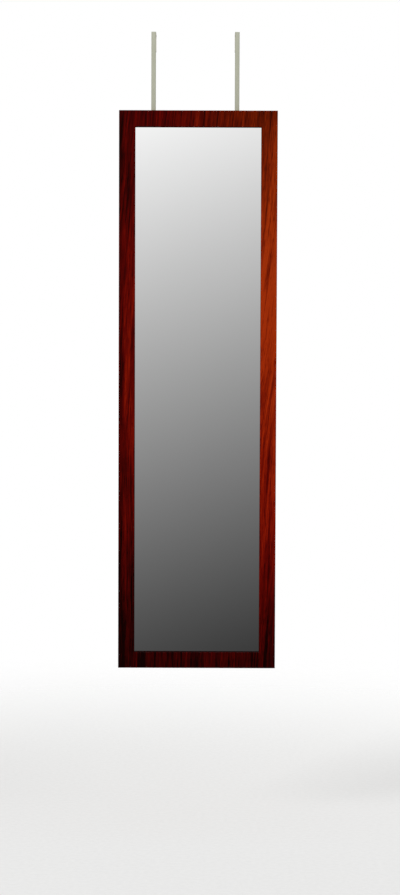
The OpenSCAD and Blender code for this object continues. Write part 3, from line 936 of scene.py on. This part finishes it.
def bumpers(rubber):
    """Moulded bumpers with a rounded rim and a shallow dish in the face."""
    for node in [f"bumper_{end}_{side}" for end in ENDS for side in SIDES]:
        low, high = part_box(node)
        outer = (high.x - low.x) / 2
        dish_y = high.y - BUMPER_DISH
        profile = [(0, low.y), (outer, low.y)]
        profile += [(outer - inset, high.y - drop) for inset, drop in quarter_round(BUMPER_RIM_R)]
        profile += [(BUMPER_DISH_R, high.y), (BUMPER_DISH_R - BUMPER_DISH, dish_y), (0, dish_y)]
        bm = turned((low + high) / 2, profile)
        stand_for(add_piece(bm, f"{node}_moulded", rubber), node)


def inner_pieces(card, brass):
    """The liner and the inserts keep the solid model's own shapes, in their own finishes."""
    for node, finish in (("card_liner", card), ("left_insert", brass), ("right_insert", brass)):
        for slot in frame["nodes"][node].material_slots:
            slot.material = finish


# ------------------------------------------------------------------ floor, light and camera


def floor():
    """A pale floor that fades into the white surroundings."""
    f = Finish("pale_floor")
    x, y, _ = f.split(f.place)
    away = f.math("SQRT", f.add(f.math("MULTIPLY", x, x), f.math("MULTIPLY", y, y)))
    fade = f.ramp(f.scaled(away, 1 / FLOOR_RADIUS), list(zip(FLOOR_FADE, (0.0, 1.0))), "EASE")
    speckle = f.grain((12 * MM, 12 * MM, SAME), detail=3)
    pale = f.shader(f.ramp(speckle, list(zip((0.3, 0.7), FLOOR_SHADES))), 0.9, Specular_IOR_Level=0.0)
    clear = f.node("ShaderNodeBsdfTransparent").outputs[0]
    faded = f.node("ShaderNodeMixShader", {0: fade, 1: pale, 2: clear}).outputs[0]
    f.node("ShaderNodeOutputMaterial", {"Surface": faded})
    bm = bmesh.new()
    bmesh.ops.create_circle(bm, cap_ends=True, segments=FLOOR_STEPS, radius=FLOOR_RADIUS)
    bmesh.ops.translate(bm, vec=(0, 0, FLOOR_Z), verts=bm.verts)
    piece = add_piece(bm, "floor", f.material)
    piece.visible_glossy = False


def surroundings():
    """White where the camera looks, an even soft light, and a graded studio for what is polished."""
    world = bpy.data.worlds.new("studio")
    bpy.context.scene.world = world
    world.use_nodes = True
    w = Nodes(world.node_tree)
    x, y, z = w.split(w.node("ShaderNodeTexCoord").outputs["Generated"])
    height = w.add(z, w.scaled(x, STUDIO_TURN))
    studio = w.ramp(w.scaled(height, 0.5, 0.5), [(0.5 + 0.5 * at, level) for at, level in STUDIO_LEVELS])
    studio = w.node("ShaderNodeGamma", {"Color": studio, "Gamma": SCREEN_GAMMA}).outputs[0]
    behind = w.math("POWER", w.math("MAXIMUM", y, 0.0), BACK_GLOW_POWER)
    studio = w.mix(w.scaled(behind, BACK_GLOW), studio, (1.0, 1.0, 1.0))
    white = w.node("ShaderNodeBackground", {"Color": (1, 1, 1, 1), "Strength": 1.0}).outputs[0]
    graded = w.node("ShaderNodeBackground", {"Color": studio, "Strength": STUDIO_STRENGTH}).outputs[0]
    soft = w.node("ShaderNodeBackground", {"Color": (1, 1, 1, 1), "Strength": SOFT_LIGHT}).outputs[0]
    path = w.node("ShaderNodeLightPath").outputs
    lit = w.node("ShaderNodeMixShader", {0: path["Is Glossy Ray"], 1: soft, 2: graded}).outputs[0]
    bare = w.math("MAXIMUM", path["Is Camera Ray"], path["Is Transmission Ray"])
    done = w.node("ShaderNodeMixShader", {0: bare, 1: lit, 2: white}).outputs[0]
    w.node("ShaderNodeOutputWorld", {"Surface": done})


def lamp(name, place, power, size):
    """A soft lamp that is left out of reflections, where it would glare on flat tops."""
    light = bpy.data.lights.new(name, "AREA")
    light.energy, light.size = power, size
    holder = bpy.data.objects.new(name, light)
    bpy.context.scene.collection.objects.link(holder)
    holder.location = place
    holder.rotation_euler = (LAMP_AIM - Vector(place)).to_track_quat("-Z", "Y").to_euler()
    holder.visible_camera = False
    holder.visible_glossy = False


def camera():
    lens = bpy.data.cameras.new("camera")
    lens.lens, lens.sensor_width = CAMERA_LENS, CAMERA_SENSOR
    holder = bpy.data.objects.new("camera", lens)
    bpy.context.scene.collection.objects.link(holder)
    tilt = Matrix.Rotation(math.radians(90 - CAMERA_TILT), 4, "X")
    roll = Matrix.Rotation(math.radians(CAMERA_ROLL), 4, "Z")
    holder.matrix_world = Matrix.Translation(CAMERA_PLACE) @ tilt @ roll
    bpy.context.scene.camera = holder


foil, bare = foil_finish(), raw_board_finish()
zinc = zinc_finish()
face_board(foil, bare, opening_shade_finish())
glass_pane(mirror_finish())
rear_panel(hardboard_finish())
battens(bare)
screws(zinc)
straps()
guides(zinc)
turn_buttons(zinc)
washers(zinc)
felt_pads(felt_finish())
bumpers(rubber_finish())
inner_pieces(card_finish(), brass_finish())

floor()
surroundings()
for name, place, power, size in LAMPS:
    lamp(name, place, power, size)
camera()
bpy.context.scene.view_settings.view_transform = "Standard"
